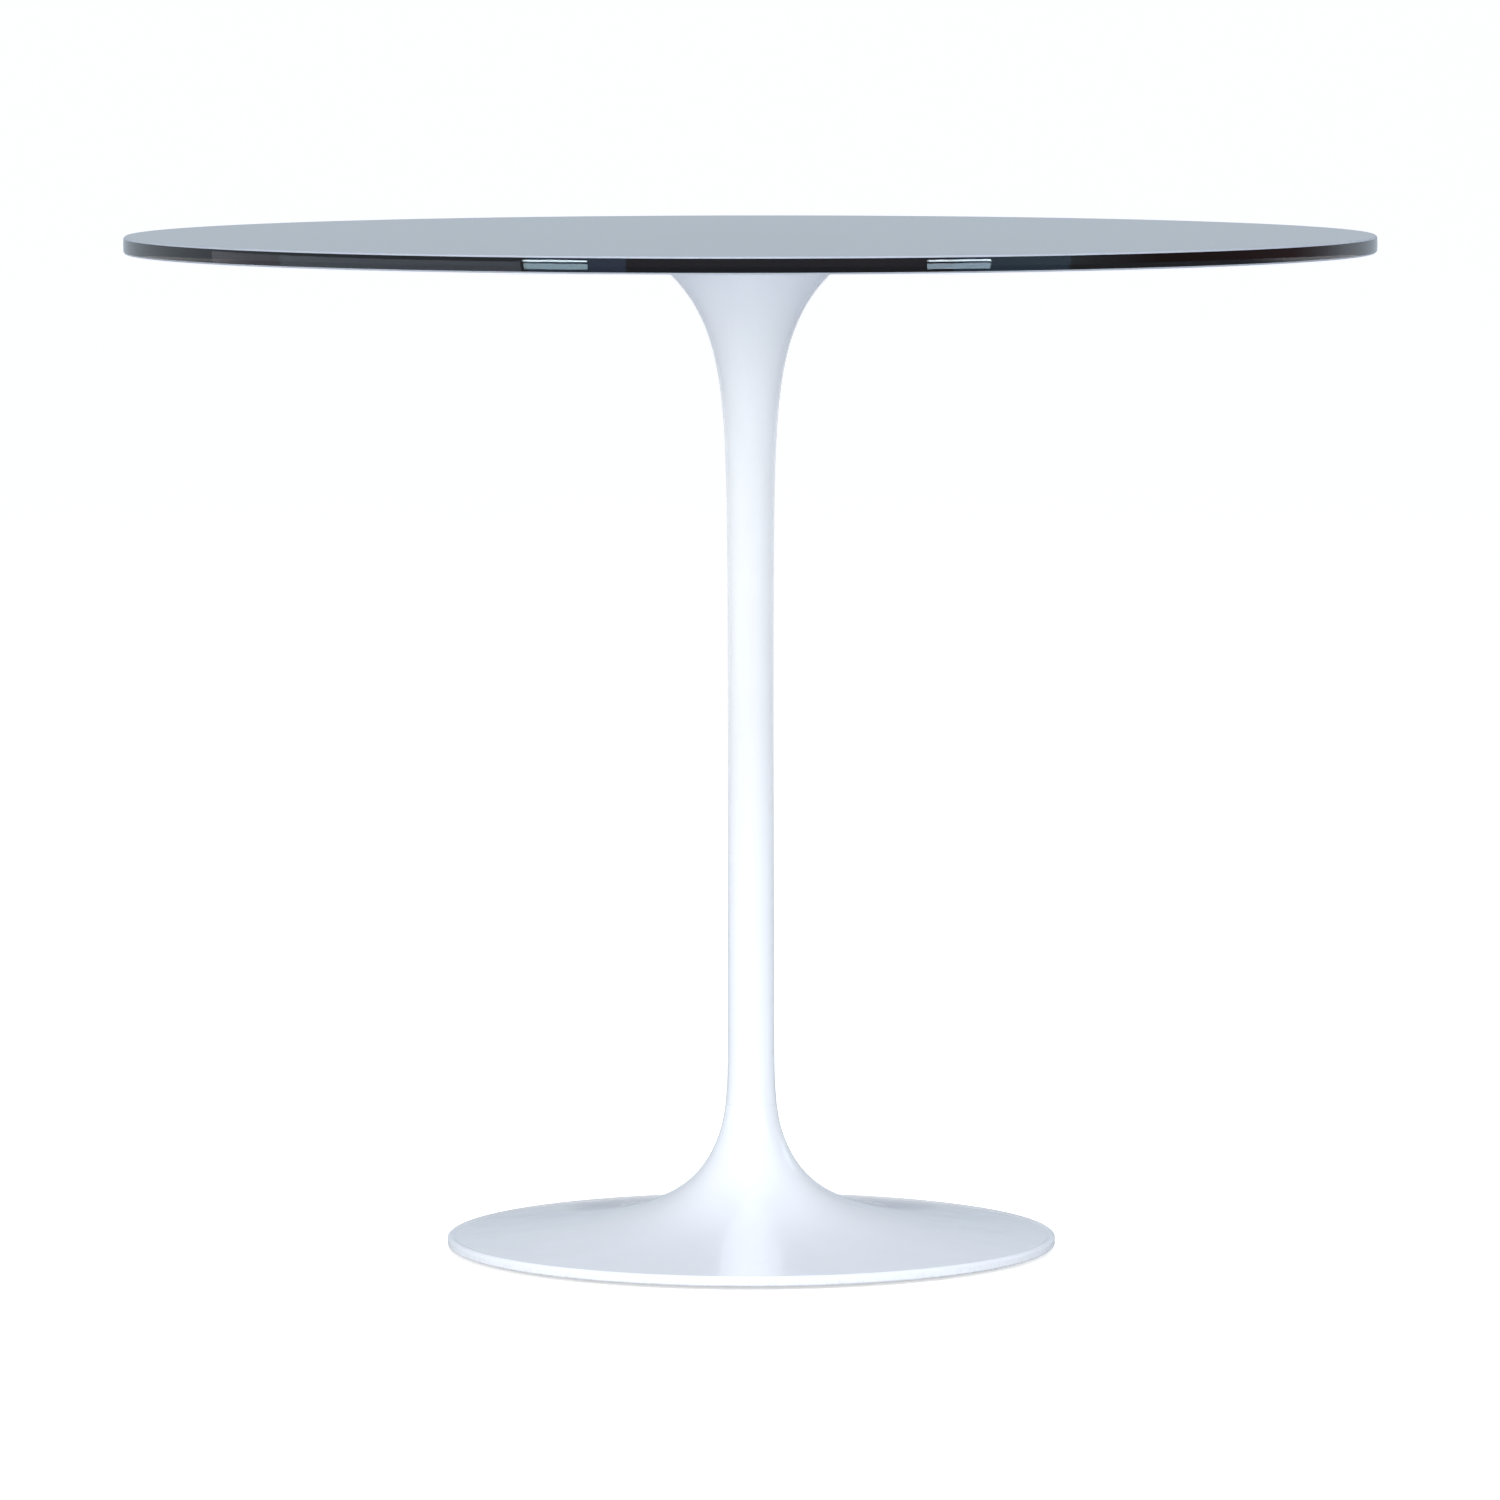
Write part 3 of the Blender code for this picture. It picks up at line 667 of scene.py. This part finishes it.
def trumpet_column():
    """The hollow upper casting: flare, stem and the spigot that drops into the base."""
    seam = SEAM_HEIGHT + SEAM_GAP
    spigot_end = node_size("column")[1]
    land, land_floor = SEAT_INNER_RADIUS, COLUMN_TOP - SEAT_LAND_DEPTH
    chamfer, root_fillet, cone_fillet = 0.0004, 0.0004, 0.001
    flare_end = COLUMN_TOP - TOP_FLARE_SPAN
    outer = [(pedestal_radius(z), z) for z in spread(COLUMN_TOP, flare_end, 72, 1.9)]
    outer += [(pedestal_radius(z), z) for z in spread(flare_end, seam, 26)[1:]]
    foot = rounded([(STEM_RADIUS, seam, 0), (SPIGOT_RADIUS, seam, root_fillet),
                    (SPIGOT_RADIUS, spigot_end, COARSE_FILLET),
                    (SPIGOT_BORE, spigot_end, COARSE_FILLET),
                    (SPIGOT_BORE, seam + BORE_CONE_START, cone_fillet),
                    (STEM_RADIUS - COLUMN_WALL, seam + BORE_CONE_END, 0)])[1:]
    inner = [pedestal_wall(z, COLUMN_WALL) for z in spread(flare_end, COLUMN_TOP, 40, 0.55)]
    inner = [(r, z) for r, z in inner if r < land - WALL_MARGIN and z < land_floor]
    lip = [(land, land_floor), (land, COLUMN_TOP - chamfer), (land + chamfer, COLUMN_TOP)]
    piece = lathe("trumpet_column", outer + foot + inner + lip, ROUND_SIDES, closed=True)
    stand_for(piece, "column", "white_lacquer")


def dished_foot():
    """The lower casting: a shallow dish with a beaded rim, a thick neck and eight bosses."""
    socket, socket_floor = SPIGOT_RADIUS + GAP, node_size("column")[1] - GAP
    chamfer = 0.0003
    outer = [(pedestal_radius(z), z) for z in spread(SEAM_HEIGHT, DISH_EDGE_HEIGHT, 96, 0.62)]
    rim = rounded([(*outer[-2], 0), (DISH_EDGE_RADIUS, DISH_EDGE_HEIGHT, DISH_EDGE_FILLET),
                   (BEAD_RADIUS, BEAD_HEIGHT, BEAD_FILLET),
                   (RIM_RADIUS, RIM_SHOULDER_HEIGHT, RIM_SHOULDER_FILLET),
                   (RIM_RADIUS, RIM_UNDERSIDE, RIM_FOOT_FILLET),
                   (RIM_RADIUS - RIM_FOOT_WIDTH, RIM_UNDERSIDE, 0)], steps=6)[1:]
    shell_start = DISH_EDGE_HEIGHT + WALL_MARGIN
    shell = [pedestal_wall(z, BASE_WALL) for z in spread(shell_start, SHELL_TOP, 34, 1.7)]
    shell = [(r, z) for r, z in shell if z < CLAMP_FACE_HEIGHT - WALL_MARGIN]
    neck = [(shell[-1][0] - CLAMP_FACE_INSET, CLAMP_FACE_HEIGHT),
            (ROD_CLEARANCE_RADIUS, CLAMP_FACE_HEIGHT), (ROD_CLEARANCE_RADIUS, socket_floor),
            (socket, socket_floor), (socket, SEAM_HEIGHT - chamfer),
            (socket + chamfer, SEAM_HEIGHT)]
    piece = lathe("dished_foot", outer[:-1] + rim + shell + neck, ROUND_SIDES, closed=True)
    ballast_top = node_size("ballast_ring")[2] + GAP
    screw_top = node_size("ballast_screw_1")[2] + CUT_PAST
    stud_top = node_size("glide_stud_1")[2] + GAP
    foot_top = node_size("glide_foot_1")[2] + GAP
    ballast_places = places_of("ballast_screw")
    glide_places = places_of("glide_foot")
    bosses = [post("boss", BALLAST_BOSS_RADIUS, ballast_top, BALLAST_BOSS_TOP, place)
              for place in ballast_places]
    bosses += [post("boss", GLIDE_BOSS_RADIUS, foot_top, GLIDE_BOSS_TOP, place)
               for place in glide_places]
    carve(piece, bosses, "UNION")
    holes = [post("hole", SCREW_RADIUS + GAP, ballast_top - CUT_PAST, screw_top, place)
             for place in ballast_places]
    holes += [post("hole", SCREW_RADIUS + GAP, foot_top - CUT_PAST, stud_top, place)
              for place in glide_places]
    carve(piece, holes, "DIFFERENCE")
    stand_for(piece, "base_casting", "white_lacquer")


def clamp_stack():
    """The tie rod, and on its lower end the anchor washer, split spring washer and nut."""
    rod_radius, rod_bottom, rod_top = node_size("tie_rod")
    bore = rod_radius + GAP
    threads = [(rod_bottom, rod_bottom + ROD_LOWER_THREAD), (rod_top - ROD_UPPER_THREAD, rod_top)]
    rod = threaded_bar("threaded_tie_rod", rod_radius, rod_bottom, rod_top, ROD_PITCH, threads)
    stand_for(rod, "tie_rod", "zinc_steel")

    radius, bottom, top = node_size("anchor_washer")
    outline = rounded([(radius, top, FINE_FILLET), (radius, bottom, COARSE_FILLET),
                       (bore, bottom, FINE_FILLET), (bore, top, SLIGHT_FILLET)], closed=True)
    washer = lathe("thick_washer", outline, ROUND_SIDES, closed=True)
    stand_for(washer, "anchor_washer", "zinc_steel")

    radius, bottom, top = node_size("spring_washer")
    outline = rounded([(radius, top, SLIGHT_FILLET), (radius, bottom, SLIGHT_FILLET),
                       (bore, bottom, SLIGHT_FILLET), (bore, top, SLIGHT_FILLET)], closed=True)
    slot = radians(SPLIT_DEGREES)
    split = lathe("split_washer", outline, FINE_SIDES, closed=True, start=slot / 2,
                  turn=2 * pi - slot)
    stand_for(split, "spring_washer", "zinc_steel")
    hexagon_nut(bore)


def hexagon_nut(bore):
    """A hexagon prism, its corners taken off by a cone at both faces, with a chamfered bore."""
    low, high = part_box("clamp_nut")
    corner = max(high.x, high.y)
    flat = corner * cos(pi / 6)
    bottom, top = low.z, high.z
    prism = [(0.0, top), (corner, top), (corner, bottom), (0.0, bottom)]
    nut = lathe("hexagon_nut", prism, 6)
    face_radius, cone_radius = flat * 0.97, corner * 1.01
    drop = (corner - flat) * tan(radians(30.0)) + 0.0004
    cone = [(0.0, top), (face_radius, top), (cone_radius, top - drop),
            (cone_radius, bottom + drop), (face_radius, bottom), (0.0, bottom)]
    carve(nut, [lathe("cone", cone, FINE_SIDES)], "INTERSECT")
    chamfer, past = NUT_BORE_CHAMFER, CUT_PAST
    hole = [(0.0, top + past), (bore + chamfer + past, top + past), (bore + chamfer, top),
            (bore, top - chamfer), (bore, bottom + chamfer), (bore + chamfer, bottom),
            (bore + chamfer + past, bottom - past), (0.0, bottom - past)]
    carve(nut, [lathe("hole", hole, FINE_SIDES)], "DIFFERENCE")
    stand_for(nut, "clamp_nut", "zinc_steel")


def ballast():
    """A flame-cut steel ring, held up by four countersunk screws."""
    radius, bottom, top = node_size("ballast_ring")
    inner, fillet = BALLAST_INNER, COARSE_FILLET
    outline = rounded([(radius, top, fillet), (radius, bottom, fillet), (inner, bottom, fillet),
                       (inner, top, fillet)], closed=True, steps=3)
    ring = lathe("ballast_disc", outline, ROUND_SIDES, closed=True)
    face = bottom - COUNTERSINK_RISE
    hole = turned_over(countersunk_outline(face, top - bottom + 2 * CUT_PAST, GAP), face)
    holes = [lathe("hole", hole, SMALL_SIDES, place=place)
             for place in places_of("ballast_screw")]
    carve(ring, holes, "DIFFERENCE")
    stand_for(ring, "ballast_ring", "raw_steel")


def glides():
    """Four levelling glides: a nylon foot moulded around the head of a threaded stud."""
    neck_fillet, top_fillet = 0.0001, 0.0010
    for i in range(1, 5):
        place = node_place(f"glide_foot_{i}")
        low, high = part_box(f"glide_foot_{i}")
        radius, top = (high.x - low.x) / 2, high.z
        head_bottom, stud_top = (side.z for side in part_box(f"glide_stud_{i}"))
        head_top = head_bottom + GLIDE_HEAD_THICKNESS
        pocket, neck = GLIDE_HEAD_RADIUS + GAP, SCREW_RADIUS + GAP
        foot = rounded([(0.0, head_bottom - GAP, 0), (pocket, head_bottom - GAP, 0),
                        (pocket, head_top + GAP, 0), (neck, head_top + GAP, 0),
                        (neck, top, neck_fillet), (radius, top, top_fillet),
                        (radius, 0.0, COARSE_FILLET), (0.0, 0.0, 0)])
        pad = lathe(f"nylon_glide_{i}", foot, FINE_SIDES, place=place)
        stand_for(pad, f"glide_foot_{i}", "glide_nylon", f"glide_{i}")
        bar = threaded_bar(f"threaded_stud_{i}", SCREW_RADIUS, head_bottom, stud_top, STUD_PITCH,
                           [(head_top + STUD_PLAIN, stud_top)], sides=SMALL_SIDES)
        head = [(0.0, head_top), (GLIDE_HEAD_RADIUS, head_top),
                (GLIDE_HEAD_RADIUS, head_bottom), (0.0, head_bottom)]
        carve(bar, [lathe("head", head, FINE_SIDES)], "UNION")
        bar.location = place
        stand_for(bar, f"glide_stud_{i}", "zinc_steel", f"glide_{i}")


glass_disc()
adhesive_film()
plate()
hub()
screws()
seat()
trumpet_column()
dished_foot()
clamp_stack()
ballast()
glides()


# ---------------------------------------------------------------- studio

CAMERA_PLACE = (0.0118, -6.759, 0.957)
CAMERA_DOWN_DEGREES = 5.03
CAMERA_LEFT_DEGREES = 0.105
CAMERA_ROLL_DEGREES = -0.056
CAMERA_LENS_MM = 225.4
STUDIO_RADIUS = 12.0
HORIZON_RADIUS = 400.0
AIM_HEIGHT = 0.40
FLOOR_GLOW = 0.57
FAR_FLOOR_GLOW = 0.65
FLOOR_COLOUR = (0.70, 0.71, 0.73)
# Painted shadow: the bounce floor's darker colour right behind the foot
PAINTED_SHADOW_FLOOR_COLOUR = (0.56, 0.60, 0.66)
BOUNCE_FLOOR_DROP = 0.001


def camera():
    """A long lens, far off and a little above the glass."""
    data = bpy.data.cameras.new("camera")
    data.lens = CAMERA_LENS_MM
    data.sensor_width = 36.0
    data.clip_start = 0.1
    data.clip_end = 1000.0
    view = bpy.data.objects.new("camera", data)
    view.matrix_world = (Matrix.Translation(CAMERA_PLACE)
                         @ Matrix.Rotation(radians(CAMERA_LEFT_DEGREES), 4, "Z")
                         @ Matrix.Rotation(radians(90.0 - CAMERA_DOWN_DEGREES), 4, "X")
                         @ Matrix.Rotation(radians(CAMERA_ROLL_DEGREES), 4, "Z"))
    bpy.context.scene.collection.objects.link(view)
    bpy.context.scene.camera = view


def floor_disc(name, radius, height, material):
    """A flat disc that isn't part of the table."""
    mesh = bpy.data.meshes.new(name)
    angles = [2 * pi * k / WIDE_SIDES for k in range(WIDE_SIDES)]
    edge = [(radius * cos(a), radius * sin(a), height) for a in angles]
    mesh.from_pydata(edge, [], [range(WIDE_SIDES)])
    mesh.materials.append(material)
    disc = add_piece(name, mesh)
    return disc


def seen_floor():
    """The floor that the camera sees: pale, and glowing, so that it is as white as the backdrop.

    It doesn't light the table, and it doesn't show in the lacquer or through the glass.
    """
    glowing, tree, shader = new_material("studio_floor")
    where = coordinates(tree)
    tone = noise(tree, where, 0.4, detail=3.0)
    tree.links.new(mixed(tree, tone, (0.925, 0.93, 0.94), (0.94, 0.945, 0.95)),
                   shader.inputs["Base Color"])
    shader.inputs["Roughness"].default_value = 0.9
    shader.inputs["Specular IOR Level"].default_value = 0.1
    shader.inputs["Emission Color"].default_value = (1.0, 1.0, 1.0, 1.0)
    shader.inputs["Emission Strength"].default_value = FLOOR_GLOW
    seen = floor_disc("studio_floor", HORIZON_RADIUS, 0.0, glowing)
    seen.visible_diffuse = False
    seen.visible_glossy = False
    seen.visible_transmission = False
    seen.visible_volume_scatter = False
    seen.visible_shadow = False


def bounce_floor():
    """The floor that lights the table, just below the one that the camera sees.

    It has a painted shadow right behind the foot, where the dish reflects it: a darker base colour
    that stands for the shade of the foot and the glass top. It glows far behind, where the stem's
    edges reflect it.
    """
    pale, tree, shader = new_material("bounce_floor")
    shader.inputs["Roughness"].default_value = 0.9
    shader.inputs["Specular IOR Level"].default_value = 0.1
    parts = tree.nodes.new("ShaderNodeSeparateXYZ")
    tree.links.new(coordinates(tree), parts.inputs["Vector"])
    behind = parts.outputs["Y"]
    # Painted shadow: the base colour goes darker right behind the foot, standing for the shade of
    # the foot and the glass top
    shaded = combined(tree, "MULTIPLY", between(tree, behind, 0.0, 1.0, 0.22, 0.36),
                      between(tree, behind, 1.0, 0.0, 1.0, 2.0))
    tree.links.new(mixed(tree, shaded, FLOOR_COLOUR, PAINTED_SHADOW_FLOOR_COLOUR),
                   shader.inputs["Base Color"])
    tree.links.new(between(tree, behind, 0.0, FAR_FLOOR_GLOW, 2.0, 4.0),
                   shader.inputs["Emission Strength"])
    shader.inputs["Emission Color"].default_value = (1.0, 1.0, 1.0, 1.0)
    bounce = floor_disc("bounce_floor", STUDIO_RADIUS, -BOUNCE_FLOOR_DROP, pale)
    bounce.visible_camera = False


def softbox(name, azimuth, elevation, distance, width, height, radiance, colour,
            reflected=True):
    """A light that faces the table from a distance. Azimuth 0 is the camera's side, + is right.

    The elevation is measured from AIM_HEIGHT on the table's axis. A light that isn't reflected
    only gives soft light, without an image of itself on the lacquer or on the glass's face.
    """
    data = bpy.data.lights.new(name, "AREA")
    data.shape = "RECTANGLE"
    data.size = width
    data.size_y = height
    data.energy = radiance * pi * width * height
    data.color = colour
    light = bpy.data.objects.new(name, data)
    across, up = radians(azimuth), radians(elevation)
    away = Vector((sin(across) * cos(up), -cos(across) * cos(up), sin(up)))
    light.location = Vector((0.0, 0.0, AIM_HEIGHT)) + away * distance
    light.rotation_euler = (radians(90.0) - up, 0.0, across)
    light.visible_camera = False
    light.visible_glossy = reflected
    bpy.context.scene.collection.objects.link(light)


def studio_world():
    """Soft light from all around; the backdrop that the camera sees is plain white.

    The light is brighter and cooler low down behind the table, and dark on its right.
    """
    world = bpy.data.worlds.new("studio")
    world.use_nodes = True
    bpy.context.scene.world = world
    tree = world.node_tree
    tree.nodes.clear()
    source = tree.nodes.new("ShaderNodeTexCoord")
    parts = tree.nodes.new("ShaderNodeSeparateXYZ")
    tree.links.new(source.outputs["Generated"], parts.inputs["Vector"])
    past_camera = between(tree, parts.outputs["Y"], 0.0, 1.0, -0.85, -0.60)
    horizon = mixed(tree, past_camera, (0.46, 0.45, 0.54), (0.520, 0.590, 0.660))
    rise = between(tree, parts.outputs["Z"], 0.0, 1.0, 0.10, 0.40)
    sky = mixed(tree, rise, horizon, (0.45, 0.47, 0.52))
    a_bit_behind = combined(tree, "MULTIPLY", parts.outputs["Y"], 0.15)
    rightward = between(tree, combined(tree, "ADD", parts.outputs["X"], a_bit_behind), 0.0, 1.0,
                        0.78, 0.96)
    sky = mixed(tree, rightward, sky, (0.23, 0.15, 0.16))
    light = tree.nodes.new("ShaderNodeBackground")
    light.inputs["Strength"].default_value = 1.0
    tree.links.new(sky, light.inputs["Color"])
    backdrop = tree.nodes.new("ShaderNodeBackground")
    backdrop.inputs["Color"].default_value = (1.0, 1.0, 1.0, 1.0)
    backdrop.inputs["Strength"].default_value = 1.1
    path = tree.nodes.new("ShaderNodeLightPath")
    mix = tree.nodes.new("ShaderNodeMixShader")
    tree.links.new(path.outputs["Is Camera Ray"], mix.inputs["Fac"])
    tree.links.new(light.outputs["Background"], mix.inputs[1])
    tree.links.new(backdrop.outputs["Background"], mix.inputs[2])
    output = tree.nodes.new("ShaderNodeOutputWorld")
    tree.links.new(mix.outputs["Shader"], output.inputs["Surface"])


bpy.context.scene.view_settings.view_transform = "Standard"
camera()
seen_floor()
bounce_floor()
studio_world()
# Each has a name, azimuth and elevation in degrees, distance, width, height, radiance and colour
softbox("key_softbox", -6.0, 22.0, 3.6, 1.4, 1.0, 4.3, (1.00, 0.86, 0.72))
softbox("low_softbox", -6.0, 8.6, 3.5, 1.4, 0.6, 5.3, (1.00, 0.82, 0.63), reflected=False)
softbox("high_softbox", 0.0, 48.0, 3.4, 1.2, 1.2, 10.9, (0.70, 0.81, 1.00))
softbox("left_softbox", -60.0, 13.6, 3.2, 1.2, 0.75, 8.4, (1.00, 0.96, 0.83), reflected=False)
softbox("right_softbox", 60.0, 13.6, 3.2, 1.2, 0.75, 8.2, (0.96, 1.00, 0.94), reflected=False)
softbox("back_softbox", 125.0, 13.6, 3.2, 1.2, 0.75, 1.2, (0.65, 0.85, 1.00))
softbox("left_window", -32.4, 3.2, 3.0, 0.58, 0.25, 6.8, (0.63, 0.90, 1.00))
softbox("left_window_head", -32.4, 7.8, 3.0, 0.58, 0.08, 20.0, (0.80, 0.95, 1.00))
softbox("left_curtain", -29.0, 4.2, 3.2, 0.95, 0.60, 0.75, (0.30, 0.55, 1.00))
softbox("right_window", 35.0, 3.2, 3.0, 0.58, 0.25, 7.5, (0.62, 0.83, 1.00))
softbox("right_window_head", 35.0, 7.8, 3.0, 0.58, 0.08, 20.0, (0.80, 0.93, 1.00))
softbox("right_curtain", 45.0, 4.2, 3.2, 1.20, 0.60, 0.60, (0.25, 0.60, 1.00))
softbox("left_wall", -64.0, 0.6, 3.2, 3.0, 0.66, 1.1, (0.71, 0.83, 1.00))
softbox("far_left_wall", -98.5, 0.6, 3.2, 1.1, 0.66, 0.6, (0.90, 0.86, 1.00))
